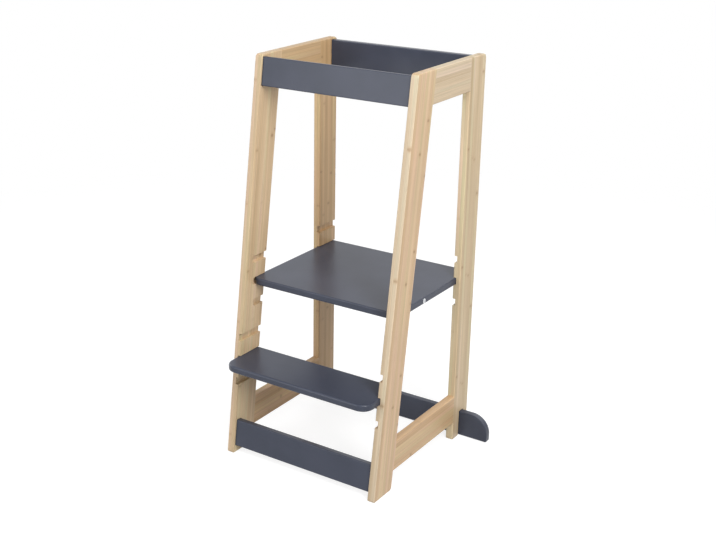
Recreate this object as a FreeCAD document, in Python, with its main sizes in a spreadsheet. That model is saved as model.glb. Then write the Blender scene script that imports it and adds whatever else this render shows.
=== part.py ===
import FreeCAD, Part
import os
import Sketcher

# Kitchen helper stool for a toddler.  Two open side frames of laminated bamboo lean
# together like an easel.  Three painted boards tie them: one low in front, one at the
# top in front and one at the top behind.  A painted platform and a painted step lie in
# slots cut into the legs, at one of several heights.  A wide painted board across the
# rear feet keeps the stool from tipping sideways.
#
# X runs across the stool, Y from front to rear, Z up.  The origin is on the floor under
# the middle of the whole stool.  Lengths are in millimetres.

SIZES = [
    # the side frames
    ("stool_height", 900, "floor to the top of the side frames"),
    ("stool_width", 400, "over both side frames"),
    ("frame_depth", 416, "front toe to the rear edge of the rear legs"),
    ("front_lean", 128.5, "how far the front edge leans back over the whole height"),
    ("frame_board", 18, "thickness of the bamboo boards"),
    ("front_leg_width", 71, "across the leaning leg"),
    ("rear_leg_width", 68, "front to rear"),
    ("side_top_rail_height", 71.5, "upper crossbar of a side frame"),
    ("side_bottom_rail_height", 69.5, "lower crossbar of a side frame"),
    ("side_bottom_rail_lift", 44, "floor to the lower crossbar"),
    ("top_corner_radius", 9, "upper corners of a side frame"),
    ("heel_radius", 8, "rear lower corner of the front foot"),
    ("foot_radius", 4, "the other corners of the feet"),
    ("frame_edge_radius", 2.5, "rounding all round the faces of a side frame"),
    # the painted boards that tie the frames
    ("board", 16, "thickness of the painted boards"),
    ("board_edge_radius", 2, "rounding of the long edges of the tie boards"),
    ("top_rail_height", 62, "both upper tie boards"),
    ("top_rail_drop", 5, "top of the frames down to the upper tie boards"),
    ("bottom_rail_height", 63, "lower front tie board"),
    ("bottom_rail_lift", 18.3, "floor to its front lower edge"),
    ("front_rail_inset", 5, "front edge of the legs to the face of the front tie boards"),
    ("back_rail_inset", 7, "rear edge of the legs to the rear tie board"),
    ("housing_depth", 4, "recess in the leg for the end of a tie board"),
    ("housing_radius", 2, "corners of that recess"),
    ("housing_play", 0.5, "between recess and board, all round"),
    ("housing_end_play", 0.3, "between the board's end and the floor of the recess"),
    # the slots and the two boards that lie in them
    ("slot_depth", 7.5, "into the inner face of a leg"),
    ("slot_play", 1, "slot height over the board's thickness"),
    ("slot_side_play", 1, "slot floor to the board's end"),
    ("slot_pitch", 51, "one slot to the next"),
    ("slot_count", 3, "slots for the platform, and for the step"),
    ("slot_end_radius", 6, "corners of a closed slot end"),
    ("platform_slot_first", 339, "floor to the lowest platform slot"),
    ("free_platform_slot_count", 1, "slots left free under the platform"),
    ("platform_slot_setback", 84, "front toe to the closed end of the platform slots"),
    ("platform_front_gap", 6, "closed slot end to the platform"),
    ("platform_rear_gap", 4, "platform to the rear edge of the rear legs"),
    ("platform_front_radius", 18, "front corners of the platform"),
    ("platform_rear_radius", 6, "rear corners of the platform"),
    ("platform_edge_radius", 3, "rounding of the platform's edges"),
    ("step_slot_first", 166, "floor to the lowest step slot"),
    ("free_step_slot_count", 1, "slots left free under the step"),
    ("step_depth", 123, "front to rear"),
    ("step_rear_overhang", 1.5, "step past the rear edge of the front leg, at the slot's floor"),
    ("step_front_radius", 28, "front corners of the step"),
    ("step_rear_radius", 6, "rear corners of the step"),
    ("step_edge_radius", 4.5, "rounding of the step's edges"),
    # the board across the rear feet
    ("stabiliser_width", 546, "end to end"),
    ("stabiliser_height", 61, "lower to upper edge"),
    ("stabiliser_lift", 2, "floor to the lower edge"),
    ("stabiliser_inset", 21.5, "rear edge of the legs to the board"),
    ("stabiliser_play", 1, "between board and notch, front and rear"),
    ("stabiliser_head_play", 0.3, "between board and notch, above"),
    ("stabiliser_top_radius", 43, "upper outer corners"),
    ("stabiliser_low_radius", 4, "lower outer corners"),
    # wooden dowels
    ("dowel_diameter", 8, "all dowels"),
    ("dowel_play", 0.05, "between dowel and bore, all round"),
    ("dowel_end_play", 1, "between dowel and bore at each end"),
    ("frame_dowel_length", 40, "dowels inside a side frame"),
    ("frame_dowel_edge", 18, "rail edge to dowel"),
    ("rail_dowel_length", 30, "dowels between tie board and leg"),
    ("rail_dowel_bite", 9, "length of that dowel inside the leg"),
    ("fitting_edge", 18, "tie board edge to dowel, and to connector bolt"),
    # cam locks and connector bolts of the tie boards
    ("cam_diameter", 15, "cam lock"),
    ("cam_length", 12.5, "cam lock, into the board's rear face"),
    ("cam_distance", 24, "end of the tie board to the middle of the cam"),
    ("cam_play", 0.1, "between cam and bore, all round"),
    ("cam_cross_length", 9, "driver cross in the cam's face"),
    ("cam_cross_width", 1.6, "its two grooves"),
    ("cam_cross_depth", 1.5, "its two grooves"),
    ("bolt_thread_diameter", 6, "connector bolt in the leg"),
    ("bolt_thread_length", 10, "into the leg"),
    ("bolt_shank_diameter", 5, "connector bolt in the tie board"),
    ("bolt_head_diameter", 6.8, "its ball end inside the cam"),
    ("bolt_head_length", 4, "along the bolt"),
    ("bolt_bore_diameter", 8, "bore for it in the tie board and in the cam"),
    ("bolt_play", 0.05, "between thread and pilot bore"),
    # screws
    ("foot_screw_diameter", 4.5, "screw through a rear foot and the wide board"),
    ("foot_screw_length", 50, "head to point"),
    ("foot_screw_head_diameter", 9, "countersunk head"),
    ("foot_screw_head_length", 3, "depth of that head"),
    ("foot_screw_tip_diameter", 1.2, "end of its point"),
    ("foot_screw_point_length", 4, "tapered end"),
    ("foot_screw_cross_length", 5, "driver cross in its head"),
    ("foot_screw_cross_width", 1.1, "two grooves of that cross"),
    ("foot_screw_cross_depth", 1.8, "two grooves of that cross"),
    ("stop_screw_setback", 115, "front edge of the platform to its stop screws"),
    ("stop_screw_diameter", 4.5, "shank"),
    ("stop_screw_length", 25, "shank"),
    ("stop_screw_head_diameter", 10.5, "head that stands out of the platform's end"),
    ("stop_screw_head_rim", 1.2, "straight part of the head"),
    ("stop_screw_head_rise", 1.3, "domed part of the head"),
    ("stop_screw_crown_diameter", 7, "flat on top of the head"),
    ("stop_screw_socket", 4, "hexagon socket, over corners"),
    ("stop_screw_socket_depth", 1.4, "into the head"),
    ("screw_play", 0.05, "between screw and bore"),
    ("cutter_margin", 20, "how far cutting tools reach past the wood"),
]

PLACES = [
    ("slope", "=Sizes.front_lean / Sizes.stool_height", "rearward run of the front leg per rise"),
    ("lean", "=atan(slope)", "angle of the front leg from upright"),
    ("front_leg_level", "=Sizes.front_leg_width / cos(lean)", "front leg, measured level"),
    ("outer_face", "=Sizes.stool_width / 2", "outside of a side frame"),
    ("inner_face", "=outer_face - Sizes.frame_board", "inside of a side frame"),
    ("middle_ply", "=outer_face - Sizes.frame_board / 2", "middle of the bamboo boards"),
    ("slot_floor", "=inner_face + Sizes.slot_depth", "bottom of the slots"),
    ("housing_floor", "=inner_face + Sizes.housing_depth", "bottom of the recesses"),
    ("shelf_end", "=slot_floor - Sizes.slot_side_play", "end of the platform and the step"),
    ("rail_end", "=housing_floor - Sizes.housing_end_play", "end of the tie boards"),
    ("slot_height", "=Sizes.board + Sizes.slot_play", "slot opening"),
    ("window_low", "=Sizes.side_bottom_rail_lift + Sizes.side_bottom_rail_height",
     "lower edge of the opening in a side frame"),
    ("window_top", "=Sizes.stool_height - Sizes.side_top_rail_height",
     "upper edge of the opening in a side frame"),
    ("window_middle", "=(window_low + window_top) / 2", "half height of that opening"),
    ("platform_low", "=Sizes.platform_slot_first + Sizes.free_platform_slot_count * Sizes.slot_pitch",
     "underside of the platform"),
    ("step_low", "=Sizes.step_slot_first + Sizes.free_step_slot_count * Sizes.slot_pitch",
     "underside of the step"),
    ("step_rear_run", "=front_leg_level + slope * step_low + Sizes.step_rear_overhang",
     "front toe to the rear edge of the step"),
    ("step_reach", "=max(Sizes.step_depth - step_rear_run; 0)", "how far the step stands before the toe"),
    ("toe", "=(step_reach - Sizes.frame_depth) / 2", "front toe"),
    ("rear", "=toe + Sizes.frame_depth", "rear edge of the rear legs"),
    ("rear_leg_front", "=rear - Sizes.rear_leg_width", "front edge of the rear legs"),
    ("leg_gap_middle", "=(toe + front_leg_level + slope * window_middle + rear_leg_front) / 2",
     "half way between the legs"),
    ("step_rear", "=toe + step_rear_run", "rear edge of the step"),
    ("step_front", "=step_rear - Sizes.step_depth", "front edge of the step"),
    ("platform_slot_end", "=toe + Sizes.platform_slot_setback", "closed end of the platform slots"),
    ("platform_front", "=platform_slot_end + Sizes.platform_front_gap", "front edge of the platform"),
    ("platform_rear", "=rear - Sizes.platform_rear_gap", "rear edge of the platform"),
    ("top_front_low", "=Sizes.stool_height - Sizes.top_rail_drop - Sizes.top_rail_height * cos(lean)",
     "front lower edge of the upper front tie board"),
    ("front_rail_step", "=Sizes.front_rail_inset / cos(lean)", "inset of the front tie boards, level"),
    ("top_front_face", "=toe + slope * top_front_low + front_rail_step", "the same edge, in depth"),
    ("bottom_front_face", "=toe + slope * Sizes.bottom_rail_lift + front_rail_step",
     "front lower edge of the lower tie board"),
    ("top_back_low", "=Sizes.stool_height - Sizes.top_rail_drop - Sizes.top_rail_height",
     "lower edge of the rear tie board"),
    ("top_back_face", "=rear - Sizes.back_rail_inset - Sizes.board", "front face of the rear tie board"),
    ("stabiliser_rear", "=rear - Sizes.stabiliser_inset", "rear face of the wide board"),
    ("stabiliser_front", "=stabiliser_rear - Sizes.board", "front face of the wide board"),
    ("stabiliser_top", "=Sizes.stabiliser_lift + Sizes.stabiliser_height", "upper edge of the wide board"),
    ("stabiliser_middle", "=Sizes.stabiliser_lift + Sizes.stabiliser_height / 2", "half its height"),
    ("notch_front", "=stabiliser_front - Sizes.stabiliser_play", "front of the notch for that board"),
    ("notch_rear", "=stabiliser_rear + Sizes.stabiliser_play", "rear of that notch"),
    ("notch_top", "=stabiliser_top + Sizes.stabiliser_head_play", "top of that notch"),
    ("stop_screw_line", "=platform_front + Sizes.stop_screw_setback", "stop screws, in depth"),
    ("platform_middle", "=platform_low + Sizes.board / 2", "half thickness of the platform"),
]

# The tie boards: the front lower edge of each, how far it leans back, and its height.
RAILS = {
    "top_front_rail": ("Places.top_front_face", "Places.top_front_low", "Places.lean",
                       "Sizes.top_rail_height"),
    "top_back_rail": ("Places.top_back_face", "Places.top_back_low", "0 deg",
                      "Sizes.top_rail_height"),
    "bottom_front_rail": ("Places.bottom_front_face", "Sizes.bottom_rail_lift", "Places.lean",
                          "Sizes.bottom_rail_height"),
}
SIDES = {"left": -1, "right": 1}
TOLERANCE = 1e-3

doc = FreeCAD.newDocument("kitchen_helper_stool")
nodes = []


def fill_sheet(name, rows):
    """Spreadsheet with one named cell per row: name, value or formula, meaning."""
    sheet = doc.addObject("Spreadsheet::Sheet", name)
    for row, (alias, value, meaning) in enumerate(rows, 1):
        sheet.set(f"A{row}", alias)
        sheet.set(f"B{row}", str(value))
        sheet.set(f"C{row}", meaning)
        sheet.setAlias(f"B{row}", alias)
    return sheet


def number(expression):
    """Present value of an expression in the sheets."""
    return float(places.evalExpression(expression))


def leaning_point(start, tilt, across, up):
    """Depth and height of a point given along a board that leans back by tilt."""
    depth = f"({start[0]} + ({across}) * cos({tilt}) + ({up}) * sin({tilt}))"
    height = f"({start[1]} - ({across}) * sin({tilt}) + ({up}) * cos({tilt}))"
    return depth, height


def leg_front(height):
    """Depth of the leaning front edge at a height."""
    return f"(Places.toe + Places.slope * ({height}))"


def leg_rear(height):
    """Depth of the front leg's rear edge at a height."""
    return f"(Places.toe + Places.front_leg_level + Places.slope * ({height}))"


def outward_span(sign, inner, outer):
    """Low end and length along X of a stretch from inner to outer, on one side."""
    low = f"({inner})" if sign > 0 else f"-({outer})"
    return low, f"(({outer}) - ({inner}))"


# ---- sketches and features of one body ----

def origin_plane(body, role):
    return next(item for item in body.Origin.OriginFeatures if item.Role == role)


def draw_loop(sketch, corners):
    """Closed straight-sided loop; each corner is a pair of expressions."""
    first = sketch.GeometryCount
    points = [FreeCAD.Vector(number(across), number(up), 0) for across, up in corners]
    for index, point in enumerate(points):
        sketch.addGeometry(Part.LineSegment(point, points[(index + 1) % len(points)]), False)
    for index, (across, up) in enumerate(corners):
        line = first + index
        following = first + (index + 1) % len(corners)
        sketch.addConstraint(Sketcher.Constraint("Coincident", line, 2, following, 1))
        for kind, expression in (("DistanceX", across), ("DistanceY", up)):
            value = number(expression)
            constraint = sketch.addConstraint(Sketcher.Constraint(kind, -1, 1, line, 1, value))
            sketch.renameConstraint(constraint, f"{kind}{line}")
            sketch.setExpression(f"Constraints.{kind}{line}", expression)


def outline(body, name, role, level, *loops):
    """Sketch of one or more loops, parallel to an origin plane at a level above it."""
    sketch = body.newObject("Sketcher::SketchObject", name)
    sketch.AttachmentSupport = [(origin_plane(body, role), "")]
    sketch.MapMode = "FlatFace"
    sketch.setExpression("AttachmentOffset.Base.z", level)
    for loop in loops:
        draw_loop(sketch, loop)
    return sketch


def rectangle(low_across, low_up, high_across, high_up):
    return [(low_across, low_up), (high_across, low_up), (high_across, high_up), (low_across, high_up)]


def settle(body, feature):
    body.Tip = feature
    doc.recompute()
    return feature


def pad(body, name, sketch, length, reverse=False, middle=False):
    feature = body.newObject("PartDesign::Pad", name)
    feature.Profile = sketch
    feature.setExpression("Length", length)
    feature.SideType = "Symmetric" if middle else "One side"
    feature.Reversed = reverse
    return settle(body, feature)


def pocket(body, name, sketch, length, reverse):
    before = body.Shape.Volume
    feature = body.newObject("PartDesign::Pocket", name)
    feature.Profile = sketch
    feature.setExpression("Length", length)
    feature.Reversed = reverse
    settle(body, feature)
    if feature.Shape.Volume >= before:
        raise RuntimeError(f"{name} cuts nothing")
    return feature


def fillet(body, name, edges, radius):
    base = body.Tip
    feature = body.newObject("PartDesign::Fillet", name)
    feature.Base = (base, edges)
    feature.setExpression("Radius", radius)
    return settle(body, feature)


def edge_names(shape, wanted):
    return [f"Edge{index}" for index, edge in enumerate(shape.Edges, 1) if wanted(edge)]


def edges_along(shape, axis, corners):
    """Edges parallel to an axis (0, 1 or 2) that run through the given corners."""
    others = [item for item in range(3) if item != axis]
    spots = [tuple(number(expression) for expression in corner) for corner in corners]

    def wanted(edge):
        ends = [vertex.Point for vertex in edge.Vertexes]
        return len(ends) == 2 and any(
            all(abs(end[other] - value) < TOLERANCE for end in ends for other, value in zip(others, spot))
            for spot in spots)

    return edge_names(shape, wanted)


def rim_edges(shape, axis, levels):
    """Edges that lie wholly in one of the planes across an axis."""
    heights = [number(level) for level in levels]

    def wanted(edge):
        middle = edge.valueAt((edge.FirstParameter + edge.LastParameter) / 2)
        spots = [vertex.Point for vertex in edge.Vertexes] + [middle]
        return any(all(abs(spot[axis] - height) < TOLERANCE for spot in spots) for height in heights)

    return edge_names(shape, wanted)


# ---- simple solids and what is made of them ----

TURNS = {
    "up": (FreeCAD.Vector(1, 0, 0), "0 deg"),
    "right": (FreeCAD.Vector(0, 1, 0), "90 deg"),
    "rearward": (FreeCAD.Vector(1, 0, 0), "-90 deg"),
    "forward": (FreeCAD.Vector(1, 0, 0), "90 deg"),
}


def place(solid, start, direction, tilt="0 deg"):
    """Put a solid's own Z axis on a direction, from a start point of three expressions."""
    axis, angle = TURNS[direction]
    solid.Placement = FreeCAD.Placement(FreeCAD.Vector(), axis, number(angle))
    solid.setExpression("Placement.Rotation.Angle", f"{angle} - {tilt}")
    for letter, expression in zip("xyz", start):
        solid.setExpression(f"Placement.Base.{letter}", expression)
    return solid


def cylinder(name, start, direction, radius, length, tilt="0 deg"):
    solid = doc.addObject("Part::Cylinder", name)
    solid.setExpression("Radius", radius)
    solid.setExpression("Height", length)
    return place(solid, start, direction, tilt)


def cone(name, start, direction, low_radius, high_radius, length):
    solid = doc.addObject("Part::Cone", name)
    solid.setExpression("Radius1", low_radius)
    solid.setExpression("Radius2", high_radius)
    solid.setExpression("Height", length)
    return place(solid, start, direction)


def block(name, start, spans, direction="up", tilt="0 deg"):
    solid = doc.addObject("Part::Box", name)
    for side, expression in zip(("Length", "Width", "Height"), spans):
        solid.setExpression(side, expression)
    return place(solid, start, direction, tilt)


def fused(name, parts):
    result = doc.addObject("Part::MultiFuse", name)
    result.Shapes = parts
    return result


def group(name, parts):
    result = doc.addObject("Part::Compound", name)
    result.Links = parts
    return result


def cut(name, base, tools):
    result = doc.addObject("Part::Cut", name)
    result.Base = base
    result.Tool = group(f"{name}_tools", tools) if len(tools) > 1 else tools[0]
    return result


def common(name, base, tool):
    result = doc.addObject("Part::Common", name)
    result.Base = base
    result.Tool = tool
    return result


def node(name, item):
    item.Label = name
    nodes.append(item)
    return item


def driver_cross(name, corner, long, wide, deep, tilt="0 deg"):
    """Cutter for a driver cross, forward from a face; corner gives a point by its two shifts."""
    bars = []
    for across, up in ((long, wide), (wide, long)):
        start = corner(f"-({across}) / 2", f"-({up}) / 2")
        bars.append(block(f"{name}_bar", start, (across, up, deep), "forward", tilt))
    return fused(f"{name}_cross", bars)


# ---- what holds the wood together ----

def frame_dowels(side, play="0", end_play="0"):
    """Two dowels across each of the four joints of a side frame, or their bores."""
    edge = "Sizes.frame_dowel_edge"
    heights = [f"(Sizes.side_bottom_rail_lift + {edge})", f"(Places.window_low - {edge})",
               f"(Places.window_top + {edge})", f"(Sizes.stool_height - {edge})"]
    half = f"(Sizes.frame_dowel_length / 2 + {end_play})"
    middle = f"{SIDES[side]} * Places.middle_ply"
    parts = []
    for height in heights:
        for joint in (leg_rear(height), "Places.rear_leg_front"):
            start = (middle, f"{joint} - {half}", height)
            parts.append(cylinder(f"{side}_frame_dowel", start, "rearward",
                                  f"Sizes.dowel_diameter / 2 + {play}", f"2 * {half}"))
    return parts


def rail_dowel(rail, sign, play="0", end_play="0"):
    """Dowel in the upper part of one end of a tie board, or its bore."""
    depth, low, tilt, height = RAILS[rail]
    spot = leaning_point((depth, low), tilt, "Sizes.board / 2", f"{height} - Sizes.fitting_edge")
    outer = f"Places.housing_floor + Sizes.rail_dowel_bite + {end_play}"
    inner = f"Places.housing_floor + Sizes.rail_dowel_bite - Sizes.rail_dowel_length - {end_play}"
    start, length = outward_span(sign, inner, outer)
    return cylinder(f"{rail}_dowel", (start, *spot), "right", f"Sizes.dowel_diameter / 2 + {play}", length)


def bolt_spot(rail):
    depth, low, tilt, _ = RAILS[rail]
    return leaning_point((depth, low), tilt, "Sizes.board / 2", "Sizes.fitting_edge")


def bolt_part(rail, sign, inner, outer, radius):
    start, length = outward_span(sign, inner, outer)
    return cylinder(f"{rail}_bolt", (start, *bolt_spot(rail)), "right", radius, length)


CAM_MIDDLE = "(Places.rail_end - Sizes.cam_distance)"


def connector_bolt(rail, sign):
    """Thread in the leg, thin shank across the joint, thicker end inside the cam."""
    thread_end = "Places.housing_floor + Sizes.bolt_thread_length"
    head_outer = f"{CAM_MIDDLE} + Sizes.bolt_head_length / 2"
    head_inner = f"{CAM_MIDDLE} - Sizes.bolt_head_length / 2"
    thread = bolt_part(rail, sign, "Places.housing_floor", thread_end, "Sizes.bolt_thread_diameter / 2")
    shank = bolt_part(rail, sign, head_outer, "Places.housing_floor", "Sizes.bolt_shank_diameter / 2")
    head = bolt_part(rail, sign, head_inner, head_outer, "Sizes.bolt_head_diameter / 2")
    return fused(f"{rail}_connector_bolt", [thread, shank, head])


def pilot_bore(rail, sign):
    end = "Places.housing_floor + Sizes.bolt_thread_length + Sizes.bolt_play"
    return bolt_part(rail, sign, "Places.inner_face", end, "Sizes.bolt_thread_diameter / 2 + Sizes.bolt_play")


def bolt_bore(rail, sign):
    """Bore from the end of the tie board to the middle of the cam."""
    inner = f"{CAM_MIDDLE} - Sizes.bolt_head_length"
    outer = "Places.rail_end + Sizes.cutter_margin"
    return bolt_part(rail, sign, inner, outer, "Sizes.bolt_bore_diameter / 2")


def cam_start(rail, sign, across_shift="0", up_shift="0"):
    """Middle of the cam's face, in the rear face of the tie board."""
    depth, low, tilt, _ = RAILS[rail]
    spot = leaning_point((depth, low), tilt, "Sizes.board", f"Sizes.fitting_edge + {up_shift}")
    return (f"{sign} * {CAM_MIDDLE} + {across_shift}", *spot), tilt


def cam_bore(rail, sign):
    start, tilt = cam_start(rail, sign)
    return cylinder(f"{rail}_cam_bore", start, "forward", "Sizes.cam_diameter / 2", "Sizes.cam_length", tilt)


def cam_lock(rail, sign):
    """Round cam with a cross in its face and a bore for the bolt."""
    start, tilt = cam_start(rail, sign)
    drum = cylinder(f"{rail}_cam_drum", start, "forward", "Sizes.cam_diameter / 2 - Sizes.cam_play",
                    "Sizes.cam_length - Sizes.cam_play", tilt)
    cross = driver_cross(f"{rail}_cam", lambda across, up: cam_start(rail, sign, across, up)[0],
                         "Sizes.cam_cross_length", "Sizes.cam_cross_width", "Sizes.cam_cross_depth", tilt)
    return cut(f"{rail}_cam_lock", drum, [cross, bolt_bore(rail, sign)])


def foot_screw(sign, play="0"):
    """Countersunk screw from behind through a rear foot and the wide board."""
    middle, height = f"{sign} * Places.middle_ply", "Places.stabiliser_middle"
    shank_length = "(Sizes.foot_screw_length - Sizes.foot_screw_point_length)"
    shank_radius = f"Sizes.foot_screw_diameter / 2 + {play}"
    head = cone("foot_screw_head", (middle, "Places.rear", height), "forward",
                f"Sizes.foot_screw_head_diameter / 2 + {play}", shank_radius, "Sizes.foot_screw_head_length")
    shank = cylinder("foot_screw_shank", (middle, "Places.rear", height), "forward",
                     shank_radius, f"{shank_length} + {play}")
    point = cone("foot_screw_point", (middle, f"Places.rear - {shank_length} - {play}", height), "forward",
                 shank_radius, f"Sizes.foot_screw_tip_diameter / 2 + {play}", "Sizes.foot_screw_point_length")
    return fused("foot_screw", [head, shank, point])


def driven_foot_screw(sign):
    """That screw with the cross for the driver in its head."""
    def corner(across, up):
        return f"{sign} * Places.middle_ply + {across}", "Places.rear", f"Places.stabiliser_middle + {up}"

    cross = driver_cross("foot_screw", corner, "Sizes.foot_screw_cross_length",
                         "Sizes.foot_screw_cross_width", "Sizes.foot_screw_cross_depth")
    return cut("driven_foot_screw", foot_screw(sign), [cross])


def stop_screw(sign):
    """Screw with a low domed head that stands out of the platform's end."""
    depth, height = "Places.stop_screw_line", "Places.platform_middle"
    rim = "Places.shelf_end + Sizes.stop_screw_head_rim"
    crown = f"{rim} + Sizes.stop_screw_head_rise"
    head_radius, crown_radius = "Sizes.stop_screw_head_diameter / 2", "Sizes.stop_screw_crown_diameter / 2"

    def stretch(inner, outer):
        start, length = outward_span(sign, inner, outer)
        return (start, depth, height), length

    start, length = stretch("Places.shelf_end - Sizes.stop_screw_length", "Places.shelf_end")
    shank = cylinder("stop_screw_shank", start, "right", "Sizes.stop_screw_diameter / 2", length)
    start, length = stretch("Places.shelf_end", rim)
    collar = cylinder("stop_screw_collar", start, "right", head_radius, length)
    start, length = stretch(rim, crown)
    radii = (head_radius, crown_radius) if sign > 0 else (crown_radius, head_radius)
    dome = cone("stop_screw_dome", start, "right", *radii, length)
    start, length = stretch(f"{crown} - Sizes.stop_screw_socket_depth", f"{crown} + Sizes.screw_play")
    socket = doc.addObject("Part::Prism", "stop_screw_socket")
    socket.Polygon = 6
    socket.setExpression("Circumradius", "Sizes.stop_screw_socket / 2")
    socket.setExpression("Height", length)
    place(socket, start, "right")
    return cut("stop_screw", fused("stop_screw_blank", [shank, collar, dome]), [socket])


def stop_screw_bore(sign):
    inner = "Places.shelf_end - Sizes.stop_screw_length - Sizes.screw_play"
    start, length = outward_span(sign, inner, "Places.shelf_end + Sizes.cutter_margin")
    return cylinder("stop_screw_bore", (start, "Places.stop_screw_line", "Places.platform_middle"), "right",
                    "Sizes.stop_screw_diameter / 2 + Sizes.screw_play", length)


# ---- the side frames ----

def slot_loops(first, low_depth, high_depth):
    loops = []
    for index in range(round(number("Sizes.slot_count"))):
        low = f"{first} + {index} * Sizes.slot_pitch"
        loops.append(rectangle(low_depth, low, high_depth, f"{low} + Places.slot_height"))
    return loops


def housing_loop(rail):
    """Recess for the end of a tie board, a little larger than the board all round."""
    depth, low, tilt, height = RAILS[rail]
    play = "Sizes.housing_play"
    corners = rectangle(f"-{play}", f"-{play}", f"Sizes.board + {play}", f"{height} + {play}")
    return [leaning_point((depth, low), tilt, across, up) for across, up in corners]


def frame_blank(side, sign):
    """A whole side frame in one piece, with its notch, rounded edges, slots and recesses."""
    body = doc.addObject("PartDesign::Body", f"{side}_frame_blank")
    inner, outer = f"{sign} * Places.inner_face", f"{sign} * Places.outer_face"
    outward_pad, outward_pocket = sign < 0, sign > 0
    lift, tall = "Sizes.side_bottom_rail_lift", "Sizes.stool_height"
    low, top = "Places.window_low", "Places.window_top"
    toe, heel = (leg_front("0"), "0"), (leg_rear("0"), "0")
    rear_toe, rear_heel = ("Places.rear_leg_front", "0"), ("Places.rear", "0")
    front_top, rear_top = (leg_front(tall), tall), ("Places.rear", tall)
    notch_toe, notch_heel = ("Places.notch_front", "0"), ("Places.notch_rear", "0")

    loop = [toe, heel, (leg_rear(lift), lift), ("Places.rear_leg_front", lift),
            rear_toe, notch_toe, ("Places.notch_front", "Places.notch_top"),
            ("Places.notch_rear", "Places.notch_top"), notch_heel, rear_heel, rear_top, front_top]
    sketch = outline(body, f"{side}_frame_outline", "YZ_Plane", inner, loop)
    pad(body, f"{side}_frame_pad", sketch, "Sizes.frame_board", outward_pad)
    loop = [(leg_rear(low), low), ("Places.rear_leg_front", low),
            ("Places.rear_leg_front", top), (leg_rear(top), top)]
    sketch = outline(body, f"{side}_window_outline", "YZ_Plane", inner, loop)
    pocket(body, f"{side}_window", sketch, "Sizes.frame_board", outward_pocket)

    for name, corners, radius in (("top_corners", [front_top, rear_top], "Sizes.top_corner_radius"),
                                  ("heel", [heel], "Sizes.heel_radius"),
                                  ("feet", [toe, rear_toe, notch_toe, notch_heel, rear_heel], "Sizes.foot_radius")):
        fillet(body, f"{side}_{name}", edges_along(body.Shape, 0, corners), radius)
    rims = rim_edges(body.Shape, 0, [inner, outer])
    fillet(body, f"{side}_edges", rims, "Sizes.frame_edge_radius")

    end, past_rear = "Places.platform_slot_end", "Places.rear + Sizes.cutter_margin"
    loops = slot_loops("Sizes.platform_slot_first", end, past_rear)
    sketch = outline(body, f"{side}_platform_slot_outline", "YZ_Plane", inner, *loops)
    pocket(body, f"{side}_platform_slots", sketch, "Sizes.slot_depth", outward_pocket)
    closed = [corner for loop in loops for corner in (loop[0], loop[3])]
    fillet(body, f"{side}_slot_ends", edges_along(body.Shape, 0, closed), "Sizes.slot_end_radius")
    loops = slot_loops("Sizes.step_slot_first", "Places.toe", "Places.leg_gap_middle")
    sketch = outline(body, f"{side}_step_slot_outline", "YZ_Plane", inner, *loops)
    pocket(body, f"{side}_step_slots", sketch, "Sizes.slot_depth", outward_pocket)

    loops = [housing_loop(rail) for rail in RAILS]
    sketch = outline(body, f"{side}_housing_outline", "YZ_Plane", inner, *loops)
    pocket(body, f"{side}_housings", sketch, "Sizes.housing_depth", outward_pocket)
    corners = [corner for loop in loops for corner in loop]
    fillet(body, f"{side}_housing_corners", edges_along(body.Shape, 0, corners), "Sizes.housing_radius")
    return body


def parting_block(name, sign, start, tilt, spans):
    """Block past both faces of a side frame; start and spans are in depth and height."""
    margin = "Sizes.cutter_margin"
    low, length = outward_span(sign, f"Places.inner_face - {margin}", f"Places.outer_face + {margin}")
    return block(name, (low, *start), (length, *spans), "up", tilt)


def side_frame(side, sign):
    """Two legs and two crossbars, parted where the boards were glued together."""
    bores = frame_dowels(side, "Sizes.dowel_play", "Sizes.dowel_end_play")
    bores += [rail_dowel(rail, sign, "Sizes.dowel_play", "Sizes.dowel_end_play") for rail in RAILS]
    bores += [pilot_bore(rail, sign) for rail in RAILS]
    bores.append(foot_screw(sign, "Sizes.screw_play"))
    bored = cut(f"{side}_frame_bored", frame_blank(side, sign), bores)

    margin, tall = "Sizes.cutter_margin", "Sizes.stool_height"
    reach = f"({tall} + 4 * {margin})"
    joint = (leg_rear("0"), "0")
    start = leaning_point(joint, "Places.lean", "-Sizes.frame_depth", f"-2 * {margin}")
    front = parting_block(f"{side}_front_block", sign, start, "Places.lean", ("Sizes.frame_depth", reach))
    rear = parting_block(f"{side}_rear_block", sign, ("Places.rear_leg_front", f"-2 * {margin}"), "0 deg",
                         ("Sizes.frame_depth", reach))
    ahead = f"Places.toe - {margin}"
    spans = (f"Sizes.frame_depth + 2 * {margin}", reach)
    upper = parting_block(f"{side}_upper_block", sign, (ahead, "Places.window_middle"), "0 deg", spans)
    lower = parting_block(f"{side}_lower_block", sign, (ahead, f"Places.window_middle - {reach}"),
                          "0 deg", spans)
    bars = cut(f"{side}_crossbars", bored, [front, rear])
    node(f"{side}_front_leg", common(f"{side}_front_leg_part", bored, front))
    node(f"{side}_rear_leg", common(f"{side}_rear_leg_part", bored, rear))
    node(f"{side}_top_rail", common(f"{side}_top_rail_part", bars, upper))
    node(f"{side}_bottom_rail", common(f"{side}_bottom_rail_part", bars, lower))
    node(f"{side}_frame_dowels", group(f"{side}_dowel_set", frame_dowels(side)))


# ---- the painted boards ----

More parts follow.
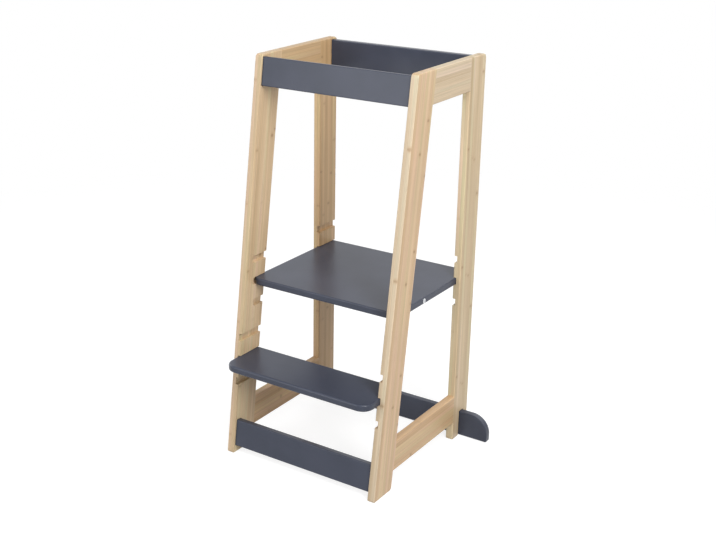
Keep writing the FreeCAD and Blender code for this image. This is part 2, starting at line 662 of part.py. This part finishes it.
def tie_board(rail):
    depth, low, tilt, height = RAILS[rail]
    body = doc.addObject("PartDesign::Body", f"{rail}_board")
    corners = [leaning_point((depth, low), tilt, across, up)
               for across, up in rectangle("0", "0", "Sizes.board", height)]
    sketch = outline(body, f"{rail}_section", "YZ_Plane", "0", corners)
    pad(body, f"{rail}_pad", sketch, "2 * Places.rail_end", middle=True)
    fillet(body, f"{rail}_edges", edges_along(body.Shape, 0, corners), "Sizes.board_edge_radius")
    bores = []
    for sign in SIDES.values():
        bores.append(fused(f"{rail}_lock_bore", [cam_bore(rail, sign), bolt_bore(rail, sign)]))
        bores.append(rail_dowel(rail, sign, "Sizes.dowel_play", "Sizes.dowel_end_play"))
    node(rail, cut(f"{rail}_bored", body, bores))


def shelf(name, front, rear, low, front_radius, rear_radius, edge_radius):
    """Board that lies in the slots of both side frames."""
    body = doc.addObject("PartDesign::Body", f"{name}_board")
    loop = rectangle("-Places.shelf_end", front, "Places.shelf_end", rear)
    sketch = outline(body, f"{name}_outline", "XY_Plane", low, loop)
    pad(body, f"{name}_pad", sketch, "Sizes.board")
    fillet(body, f"{name}_front_corners", edges_along(body.Shape, 2, loop[:2]), front_radius)
    fillet(body, f"{name}_rear_corners", edges_along(body.Shape, 2, loop[2:]), rear_radius)
    rims = rim_edges(body.Shape, 2, [low, f"{low} + Sizes.board"])
    fillet(body, f"{name}_edges", rims, edge_radius)
    return body


def stabiliser():
    body = doc.addObject("PartDesign::Body", "stabiliser_board_body")
    half = "Sizes.stabiliser_width / 2"
    loop = rectangle(f"-{half}", "Sizes.stabiliser_lift", half, "Places.stabiliser_top")
    sketch = outline(body, "stabiliser_outline", "XZ_Plane", "-Places.stabiliser_front", loop)
    pad(body, "stabiliser_pad", sketch, "Sizes.board", reverse=True)
    fillet(body, "stabiliser_low_corners", edges_along(body.Shape, 1, loop[:2]), "Sizes.stabiliser_low_radius")
    fillet(body, "stabiliser_top_corners", edges_along(body.Shape, 1, loop[2:]), "Sizes.stabiliser_top_radius")
    rims = rim_edges(body.Shape, 1, ["Places.stabiliser_front", "Places.stabiliser_rear"])
    fillet(body, "stabiliser_edges", rims, "Sizes.board_edge_radius")
    bores = [foot_screw(sign, "Sizes.screw_play") for sign in SIDES.values()]
    node("stabiliser_board", cut("stabiliser_bored", body, bores))


# ---- the whole stool ----

fill_sheet("Sizes", SIZES)
doc.recompute()
places = fill_sheet("Places", PLACES)
doc.recompute()

for side, sign in SIDES.items():
    side_frame(side, sign)
for rail in RAILS:
    tie_board(rail)
stabiliser()
platform = shelf("platform", "Places.platform_front", "Places.platform_rear", "Places.platform_low",
                 "Sizes.platform_front_radius", "Sizes.platform_rear_radius", "Sizes.platform_edge_radius")
node("platform", cut("platform_bored", platform, [stop_screw_bore(sign) for sign in SIDES.values()]))
node("step", shelf("step", "Places.step_front", "Places.step_rear", "Places.step_low",
                   "Sizes.step_front_radius", "Sizes.step_rear_radius", "Sizes.step_edge_radius"))
ends = [(rail, sign) for rail in RAILS for sign in SIDES.values()]
node("rail_dowels", group("rail_dowel_set", [rail_dowel(rail, sign) for rail, sign in ends]))
node("rail_connector_bolts", group("connector_bolt_set", [connector_bolt(rail, sign) for rail, sign in ends]))
node("rail_cam_locks", group("cam_lock_set", [cam_lock(rail, sign) for rail, sign in ends]))
node("stabiliser_screws", group("foot_screw_set", [driven_foot_screw(sign) for sign in SIDES.values()]))
node("platform_stop_screws", group("stop_screw_set", [stop_screw(sign) for sign in SIDES.values()]))
doc.recompute()

for item in doc.Objects:
    if "Invalid" in item.State or "Error" in item.State:
        raise RuntimeError(f"{item.Name} failed: {item.State}")
for item in nodes:
    if item.Shape.isNull() or not item.Shape.isValid():
        raise RuntimeError(f"{item.Label} has no sound shape")

os.makedirs("parts", exist_ok=True)
for item in nodes:
    item.Shape.exportStep(f"parts/{item.Label}.step")
    print(f"{item.Label}: {len(item.Shape.Solids)} solids, {item.Shape.Volume / 1000:.1f} cm3")
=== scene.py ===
"""Looks of a toddler's kitchen helper stool: bamboo side frames, painted boards, zinc fittings.

X runs across the stool, Y from front to rear, Z up.  The origin is on the floor under the
middle of the stool.  Lengths are in metres, colours are linear.
"""
import math

import bpy
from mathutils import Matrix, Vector

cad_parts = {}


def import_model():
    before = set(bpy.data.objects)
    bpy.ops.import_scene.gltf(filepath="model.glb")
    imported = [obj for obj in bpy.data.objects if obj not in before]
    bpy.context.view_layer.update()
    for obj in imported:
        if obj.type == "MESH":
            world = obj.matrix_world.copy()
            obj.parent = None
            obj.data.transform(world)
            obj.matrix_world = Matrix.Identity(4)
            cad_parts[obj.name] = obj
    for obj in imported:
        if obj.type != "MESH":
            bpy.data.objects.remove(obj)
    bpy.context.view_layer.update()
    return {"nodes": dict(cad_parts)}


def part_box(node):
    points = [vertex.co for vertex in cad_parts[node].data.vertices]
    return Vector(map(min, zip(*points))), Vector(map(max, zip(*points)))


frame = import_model()

# ---- the camera of the photograph ----
IMAGE_WIDTH, IMAGE_HEIGHT = 716, 540
FOCAL_LENGTH_PIXELS = 1188.1
OPTICAL_AXIS_PIXEL = (300.9, 288.0)
SENSOR_MM = 36.0
REAR_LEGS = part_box("right_rear_leg")[1][1]
CAMERA_PLACE = (1.3431, REAR_LEGS - 2.3027, 1.3470)
CAMERA_AZIMUTH = math.radians(35.234)
CAMERA_ELEVATION = math.radians(21.188)


class Nodes:
    """A node tree in the making, with short ways to add nodes and join them."""

    def __init__(self, tree):
        self.nodes, self.links = tree.nodes, tree.links
        self.nodes.clear()

    def node(self, kind, inputs=None, **settings):
        """A new node with its settings made and its inputs fed."""
        made = self.nodes.new(kind)
        for name, value in settings.items():
            setattr(made, name, value)
        for name, value in (inputs or {}).items():
            self.feed(made.inputs[name], value)
        return made

    def feed(self, socket, value):
        """Join another node's output to a socket, or write a fixed value into it."""
        if isinstance(value, bpy.types.NodeSocket):
            self.links.new(value, socket)
        else:
            socket.default_value = value

    def math(self, operation, first, second=0.0, third=0.0):
        """One step of arithmetic on numbers or sockets."""
        made = self.node("ShaderNodeMath", operation=operation)
        for socket, value in zip(made.inputs, (first, second, third)):
            self.feed(socket, value)
        return made.outputs[0]

    def seen(self):
        """1 for rays that show a thing as it looks, 0 for rays that only carry its light."""
        paths = self.node("ShaderNodeLightPath").outputs
        shown = paths["Is Camera Ray"]
        for ray in ("Is Glossy Ray", "Is Transmission Ray"):
            shown = self.math("MAXIMUM", shown, paths[ray])
        return shown


class Finish(Nodes):
    """A material with one principled shader, patterned on Object coordinates."""

    def __init__(self, name):
        self.material = bpy.data.materials.new(name)
        self.material.use_nodes = True
        super().__init__(self.material.node_tree)
        self.shader = self.node("ShaderNodeBsdfPrincipled")
        self.output = self.node("ShaderNodeOutputMaterial", {"Surface": self.shader.outputs[0]})

    def set(self, **values):
        """Feed sockets of the shader; a socket's spaces are written as underscores."""
        for name, value in values.items():
            self.feed(self.shader.inputs[name.replace("_", " ")], value)

    def blend(self, factor, first, second, kind="MIX"):
        """Colour between two colours."""
        made = self.node("ShaderNodeMix", data_type="RGBA", blend_type=kind)
        for index, value in ((0, factor), (6, first), (7, second)):
            self.feed(made.inputs[index], value)
        return made.outputs[2]

    def span(self, value, low, high, to_low=0.0, to_high=1.0):
        """Value carried smoothly from one span to another, and held at the ends."""
        names = ("Value", "From Min", "From Max", "To Min", "To Max")
        made = self.node("ShaderNodeMapRange", interpolation_type="SMOOTHSTEP")
        for name, number in zip(names, (value, low, high, to_low, to_high)):
            self.feed(made.inputs[name], number)
        return made.outputs[0]

    def place(self, turn=(0, 0, 0), shift=(0, 0, 0)):
        """Object coordinates, turned and shifted."""
        spot = self.node("ShaderNodeTexCoord").outputs["Object"]
        inputs = {"Vector": spot, "Rotation": turn, "Location": shift}
        return self.node("ShaderNodeMapping", inputs).outputs[0]

    def noise(self, spot, scale, detail=2.0, roughness=0.5):
        """Noise with this many lumps to the metre along X, Y and Z."""
        spot = self.node("ShaderNodeMapping", {"Vector": spot, "Scale": scale}).outputs[0]
        inputs = {"Vector": spot, "Scale": 1.0, "Detail": detail, "Roughness": roughness}
        return self.node("ShaderNodeTexNoise", inputs).outputs[0]

    def chance(self, number):
        """One random value and three more for each whole number."""
        made = self.node("ShaderNodeTexWhiteNoise", {"W": number}, noise_dimensions="1D")
        draws = self.node("ShaderNodeSeparateColor", {"Color": made.outputs["Color"]})
        return made.outputs["Value"], *draws.outputs

    def grey(self, value):
        """Grey of a given brightness."""
        inputs = {"Red": value, "Green": value, "Blue": value}
        return self.node("ShaderNodeCombineColor", inputs).outputs[0]

    def ramp(self, factor, stops):
        """Colour from a ladder of positions and colours."""
        made = self.node("ShaderNodeValToRGB", {"Fac": factor})
        ladder = made.color_ramp.elements
        while len(ladder) < len(stops):
            ladder.new(1.0)
        for rung, (position, colour) in zip(ladder, stops):
            rung.position = position
            rung.color = (*colour, 1.0)
        return made.outputs[0]

    def bump(self, height, strength, distance):
        """Relief on the surface."""
        inputs = {"Height": height, "Strength": strength, "Distance": distance}
        self.set(Normal=self.node("ShaderNodeBump", inputs).outputs[0])


# ---- bamboo ----
STRIP_WIDTH = 0.0102
PLY_BOUNDARY = 0.191            # from the middle of the stool to the glue between the plies
PLY_STAGGER = 0.0043            # from the strips of one ply to those of the other
GLUE_LINE_WIDTH = 0.00032
KNUCKLE_SPACING = 0.27
KNUCKLE_HALF_LENGTH = 0.0040
KNUCKLE_WAVE = 0.005
LEAN = math.atan(0.1285 / 0.9)  # of the front legs

# a leaning leg's front edge in its turned coordinates, and where the painted highlight and shade
# of its front edge fade behind that
FRONT_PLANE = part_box("right_front_leg")[0][1] * math.cos(LEAN)
FRONT_EDGE_DEPTH = (0.0004, 0.0022)

# how one board's strips differ from another's
BOARD_SHIFT_ACROSS = 0.00131
BOARD_SHIFT_ALONG = 0.173
BOARD_NUMBER_JUMP = 41.0
PLY_NUMBER_JUMP = 53.0

# lumps to the metre across the thickness, across the board and along it
DRIFT_LUMPS = (20, 45, 2.2)
FIBRE_LUMPS = (1100, 1100, 9)
STREAK_LUMPS = (420, 420, 3.5)
DASH_LUMPS = (2600, 2600, 42)
KNUCKLE_LUMPS = (260, 360, 60)

SHADE_RANGE = (0.90, 1.06)      # of fibres and streaks
KNUCKLE_HALO_STRENGTH = 0.60
KNUCKLE_STRENGTH = 0.50
GLUE_LINE_STRENGTH = 0.35
BAMBOO_RELIEF = 0.00012
BAMBOO_TONES = (
    (0.00, (0.470, 0.320, 0.175)),
    (0.22, (0.558, 0.395, 0.232)),
    (0.45, (0.608, 0.444, 0.273)),
    (0.62, (0.598, 0.482, 0.286)),
    (0.80, (0.648, 0.462, 0.312)),
    (1.00, (0.672, 0.532, 0.326)),
)
KNUCKLE_BROWN = (0.250, 0.140, 0.065, 1.0)
KNUCKLE_HALO = (0.480, 0.310, 0.165, 1.0)
FIBRE_BROWN = (0.400, 0.250, 0.130, 1.0)


def bamboo(name, turn, seed, tone_and_shade, edge_light_and_shade):
    """Two plies of bamboo strips glued side by side; turn lays the strips along the board.

    A strip's number is its place across the board divided by the strip's width, rounded
    down, with a jump from one ply to the other.  It picks the strip's tone and where its
    knuckles lie.  The board's tint is partly its wood's own tone and partly painted shade.
    A leaning leg's front edge has painted light of its own: a paler, bluer painted
    highlight on the right leg and painted shade on the left one.
    """
    finish = Finish(name)
    shift = seed * BOARD_SHIFT_ACROSS
    spot = finish.place(turn=(turn, 0, 0), shift=(0, shift, seed * BOARD_SHIFT_ALONG))
    parts = finish.node("ShaderNodeSeparateXYZ", {"Vector": spot}).outputs
    depth = finish.math("SUBTRACT", finish.math("ABSOLUTE", parts["X"]), PLY_BOUNDARY)
    ply = finish.math("GREATER_THAN", depth, 0.0)
    across = finish.math("MULTIPLY_ADD", ply, PLY_STAGGER, parts["Y"])
    along = parts["Z"]

    place = finish.math("DIVIDE", across, STRIP_WIDTH)
    strip = finish.math("FLOOR", place)
    within = finish.math("SUBTRACT", place, strip)
    number = finish.math("ADD", strip, seed * BOARD_NUMBER_JUMP)
    number = finish.math("MULTIPLY_ADD", ply, PLY_NUMBER_JUMP, number)
    tone, knuckle_draw, strength_draw, fibre_draw = finish.chance(number)

    # neighbouring strips share some of their tone, and it drifts along the strip
    drift = finish.noise(spot, DRIFT_LUMPS, detail=1.0)
    drift = finish.math("MULTIPLY_ADD", drift, 0.9, -0.28)
    tone = finish.math("MULTIPLY_ADD", tone, 0.70, drift)
    colour = finish.ramp(tone, BAMBOO_TONES)
    # painted light on a leaning leg's front edge: a paler, bluer painted highlight on the right
    # leg, painted shade on the left
    behind_front = finish.math("SUBTRACT", parts["Y"], FRONT_PLANE + shift)
    inside = finish.span(behind_front, *FRONT_EDGE_DEPTH)
    tint_and_light = finish.blend(inside, (*edge_light_and_shade, 1.0), (*tone_and_shade, 1.0))
    colour = finish.blend(1.0, colour, tint_and_light, "MULTIPLY")

    # fibres: long thin streaks, and darker dashes where a bundle comes to the surface
    fibres = finish.noise(spot, FIBRE_LUMPS, detail=3.0, roughness=0.6)
    streaks = finish.noise(spot, STREAK_LUMPS)
    shade = finish.math("MULTIPLY", finish.span(fibres, 0.3, 0.7, *SHADE_RANGE),
                        finish.span(streaks, 0.3, 0.7, *SHADE_RANGE))
    colour = finish.blend(1.0, colour, finish.grey(shade), "MULTIPLY")
    dashes = finish.span(finish.noise(spot, DASH_LUMPS, detail=1.0), 0.60, 0.72)
    dashes = finish.math("MULTIPLY", dashes, finish.span(fibre_draw, 0.1, 1.0, 0.10, 0.50))
    colour = finish.blend(dashes, colour, FIBRE_BROWN)

    # knuckles: a soft dark mark across one strip, at a place of its own
    ripple = finish.noise(spot, KNUCKLE_LUMPS)
    turns = finish.math("ADD", finish.math("DIVIDE", along, KNUCKLE_SPACING), knuckle_draw)
    off = finish.math("SUBTRACT", finish.math("FRACT", turns), 0.5)
    off = finish.math("MULTIPLY", finish.math("ABSOLUTE", off), KNUCKLE_SPACING)
    off = finish.math("MULTIPLY_ADD", finish.math("SUBTRACT", ripple, 0.5), KNUCKLE_WAVE, off)
    from_edge = finish.math("MINIMUM", within, finish.math("SUBTRACT", 1.0, within))
    strength = finish.math("MULTIPLY", finish.span(strength_draw, 0.30, 1.0),
                           finish.span(from_edge, 0.0, 0.22, 0.3, 1.0))
    mark = finish.span(off, KNUCKLE_HALF_LENGTH * 0.2, KNUCKLE_HALF_LENGTH, 1.0, 0.0)
    halo = finish.span(off, KNUCKLE_HALF_LENGTH * 0.5, KNUCKLE_HALF_LENGTH * 2.6, 1.0, 0.0)
    for part, share, brown in ((halo, KNUCKLE_HALO_STRENGTH, KNUCKLE_HALO),
                               (mark, KNUCKLE_STRENGTH, KNUCKLE_BROWN)):
        factor = finish.math("MULTIPLY", finish.math("MULTIPLY", part, strength), share)
        colour = finish.blend(factor, colour, brown)

    # glue lines between strips and between the plies
    to_line = finish.math("MULTIPLY", from_edge, STRIP_WIDTH)
    to_line = finish.math("MINIMUM", to_line, finish.math("ABSOLUTE", depth))
    line = finish.span(to_line, 0.0, GLUE_LINE_WIDTH, 1.0, 0.0)
    colour = finish.blend(finish.math("MULTIPLY", line, GLUE_LINE_STRENGTH), colour, FIBRE_BROWN)

    relief = finish.math("SUBTRACT", fibres, finish.math("MULTIPLY", line, 0.8))
    relief = finish.math("SUBTRACT", relief, finish.math("MULTIPLY", mark, 0.3))
    finish.bump(relief, 0.25, BAMBOO_RELIEF)
    finish.set(Base_Color=colour, Roughness=finish.math("MULTIPLY_ADD", fibres, 0.16, 0.34))
    return finish.material


# ---- paint, zinc and beech ----
PAINT = (0.050, 0.057, 0.084, 1.0)
PAINT_THIN = (0.062, 0.069, 0.097, 1.0)
PAINT_DEEP = (0.043, 0.050, 0.074, 1.0)
PAINT_CLOUD_LUMPS = (14, 14, 14)
SPECKLE_LUMPS = (1500, 1500, 1500)
PEEL_LUMPS = (420, 420, 420)


def paint(name):
    """Satin blue-grey paint sprayed on board: faint clouds, fine speckle and orange peel."""
    finish = Finish(name)
    spot = finish.place()
    clouds = finish.noise(spot, PAINT_CLOUD_LUMPS, detail=3.0)
    speckle = finish.noise(spot, SPECKLE_LUMPS, roughness=0.7)
    colour = finish.blend(finish.span(clouds, 0.3, 0.7), PAINT_DEEP, PAINT)
    colour = finish.blend(finish.span(speckle, 0.55, 0.8, 0.0, 0.6), colour, PAINT_THIN)
    peel = finish.noise(spot, PEEL_LUMPS)
    finish.bump(finish.math("MULTIPLY_ADD", speckle, 0.25, peel), 0.2, 0.00008)
    finish.set(Base_Color=colour, Specular_IOR_Level=0.3,
               Roughness=finish.span(speckle, 0.2, 0.8, 0.27, 0.36))
    return finish.material


ZINC_CLOUD_LUMPS = (260, 260, 260)
TURNING_LUMPS = (300, 5200, 5200)


def zinc(name, dull, pale, rough):
    """Zinc: a little uneven in colour and gloss, with fine turning marks."""
    finish = Finish(name)
    spot = finish.place()
    clouds = finish.noise(spot, ZINC_CLOUD_LUMPS, detail=3.0)
    finish.bump(finish.noise(spot, TURNING_LUMPS, detail=1.0), 0.15, 0.00004)
    finish.set(Base_Color=finish.blend(clouds, (*dull, 1.0), (*pale, 1.0)),
               Metallic=1.0, Roughness=finish.span(clouds, 0.2, 0.8, rough, rough + 0.16))
    return finish.material


BEECH = (0.62, 0.45, 0.30, 1.0)
BEECH_FLECK = (0.48, 0.32, 0.20, 1.0)
FLECK_LUMPS = (240, 240, 900)


def beech():
    """Plain beech of the dowels: pinkish wood with short darker flecks."""
    finish = Finish("beech_dowel")
    fleck = finish.noise(finish.place(), FLECK_LUMPS)
    finish.bump(fleck, 0.2, 0.0001)
    finish.set(Base_Color=finish.blend(finish.span(fleck, 0.35, 0.7), BEECH, BEECH_FLECK),
               Roughness=0.6)
    return finish.material


# ---- each node's finish ----
def dress(material, *nodes):
    """Give nodes of the frame their finish."""
    for node in nodes:
        mesh = frame["nodes"][node].data
        mesh.materials.clear()
        mesh.materials.append(material)


# each bamboo board: how its strips are turned, its tint, which is its wood's own tone and on the
# left rear leg and the left rails also painted shade, and for the leaning legs the painted light
# and shade of its front edge
UPRIGHT, LEVEL = 0.0, math.pi / 2
BAMBOO_BOARDS = {
    "left_front_leg": (LEAN, (1.05, 1.05, 1.04), (0.93, 0.94, 0.92)),
    # the left rear leg and the left rails are darker and warmer: painted shade on the left
    # frame's inner faces
    "left_rear_leg": (UPRIGHT, (0.97, 0.89, 0.77), None),
    "left_top_rail": (LEVEL, (0.94, 0.88, 0.79), None),
    "left_bottom_rail": (LEVEL, (0.92, 0.80, 0.64), None),
    "right_front_leg": (LEAN, (0.98, 0.93, 0.89), (1.02, 1.12, 1.27)),
    "right_rear_leg": (UPRIGHT, (1.03, 1.09, 1.12), None),
    "right_top_rail": (LEVEL, (0.99, 1.07, 1.17), None),
    "right_bottom_rail": (LEVEL, (1.00, 0.91, 0.83), None),
}
for seed, (board, (turn, tone_and_shade, edge_light_and_shade)) in enumerate(BAMBOO_BOARDS.items(), 1):
    dress(bamboo(f"bamboo_{board}", turn, seed, tone_and_shade, edge_light_and_shade or tone_and_shade), board)
dress(paint("blue_grey_paint"), "top_front_rail", "top_back_rail", "bottom_front_rail",
      "stabiliser_board", "platform", "step")
dress(zinc("bright_zinc", (0.56, 0.57, 0.60), (0.74, 0.75, 0.76), 0.22),
      "rail_connector_bolts", "stabiliser_screws", "platform_stop_screws")
dress(zinc("cast_zinc", (0.36, 0.37, 0.39), (0.50, 0.51, 0.53), 0.34), "rail_cam_locks")
dress(beech(), "left_frame_dowels", "right_frame_dowels", "rail_dowels")


# ---- floor, light and camera ----
def add(name, data):
    """A new object with this data, in the scene."""
    piece = bpy.data.objects.new(name, data)
    bpy.context.scene.collection.objects.link(piece)
    return piece


FLOOR_HALF = 30.0
FLOOR_GREY = 0.50               # for the light it throws back
FLOOR_SHOWN = 0.34              # where it is looked at, over the glow that makes it pale
FLOOR_GLOW = 0.80
FLOOR_FADE = (0.7, 2.4)         # distances from the stool's middle


def floor():
    """Pale floor that keeps a faint shadow near the stool and fades to white further out."""
    mesh = bpy.data.meshes.new("floor")
    signs = ((-1, -1), (1, -1), (1, 1), (-1, 1))
    mesh.from_pydata([(x * FLOOR_HALF, y * FLOOR_HALF, 0) for x, y in signs], [], [(0, 1, 2, 3)])
    finish = Finish("pale_floor")
    seen = finish.seen()
    grey = finish.math("MULTIPLY_ADD", seen, FLOOR_SHOWN - FLOOR_GREY, FLOOR_GREY)
    glow = finish.math("MULTIPLY", seen, FLOOR_GLOW)
    finish.set(Base_Color=finish.grey(grey), Roughness=0.9, Specular_IOR_Level=0.0,
               Emission_Color=(1, 1, 1, 1), Emission_Strength=glow)
    away = finish.node("ShaderNodeVectorMath", {"Vector": finish.place()}, operation="LENGTH")
    fade = finish.math("MULTIPLY", finish.span(away.outputs["Value"], *FLOOR_FADE), seen)
    white = finish.node("ShaderNodeEmission", {"Strength": 1.0})
    surface = finish.node("ShaderNodeMixShader",
                          {0: fade, 1: finish.shader.outputs[0], 2: white.outputs[0]})
    finish.feed(finish.output.inputs["Surface"], surface.outputs[0])
    mesh.materials.append(finish.material)
    add("floor", mesh)


WORLD_LIGHT = 0.30


def world():
    """Even light from all round; the camera, metal and glass see plain white."""
    surround = bpy.data.worlds.new("studio")
    bpy.context.scene.world = surround
    surround.use_nodes = True
    tree = Nodes(surround.node_tree)
    strength = tree.math("MULTIPLY_ADD", tree.seen(), 1.0 - WORLD_LIGHT, WORLD_LIGHT)
    background = tree.node("ShaderNodeBackground", {"Color": (1, 1, 1, 1), "Strength": strength})
    tree.node("ShaderNodeOutputWorld", {"Surface": background.outputs[0]})


def softbox(name, place, aim, width, height, power):
    """Flat lamp that faces a point."""
    lamp = bpy.data.lights.new(name, "AREA")
    lamp.shape = "RECTANGLE"
    lamp.size, lamp.size_y = width, height
    lamp.energy = power
    piece = add(name, lamp)
    piece.location = place
    piece.rotation_mode = "QUATERNION"
    piece.rotation_quaternion = (Vector(aim) - Vector(place)).to_track_quat("-Z", "Y")


def camera():
    """The photograph's camera, its lens shifted because the axis is off the picture's middle."""
    eye = bpy.data.cameras.new("camera")
    eye.sensor_width = SENSOR_MM
    eye.lens = FOCAL_LENGTH_PIXELS * SENSOR_MM / IMAGE_WIDTH
    eye.shift_x = ((IMAGE_WIDTH - 1) / 2 - OPTICAL_AXIS_PIXEL[0]) / IMAGE_WIDTH
    eye.shift_y = (OPTICAL_AXIS_PIXEL[1] - (IMAGE_HEIGHT - 1) / 2) / IMAGE_WIDTH
    piece = add("camera", eye)
    piece.location = CAMERA_PLACE
    piece.rotation_euler = (math.pi / 2 - CAMERA_ELEVATION, 0, CAMERA_AZIMUTH)
    bpy.context.scene.camera = piece


# each lamp: its place, the height of the point it faces, its width and height, its power
LAMPS = {
    "front_softbox": ((-1.4, -2.8, 1.25), 0.55, 1.1, 2.1, 29),
    "right_softbox": ((2.2, -1.45, 1.8), 0.5, 0.7, 1.3, 43),
    "top_softbox": ((1.3, -1.0, 2.9), 0.5, 1.4, 1.4, 43),
    "left_fill": ((-3.1, 0.2, 1.4), 0.5, 2.4, 2.4, 30),
    "rear_fill": ((0.4, 3.4, 1.4), 0.5, 2.4, 2.4, 30),
}
floor()
world()
for lamp, (place, aim_height, width, height, power) in LAMPS.items():
    softbox(lamp, place, (0, 0, aim_height), width, height, power)
camera()
bpy.context.scene.view_settings.view_transform = "Standard"
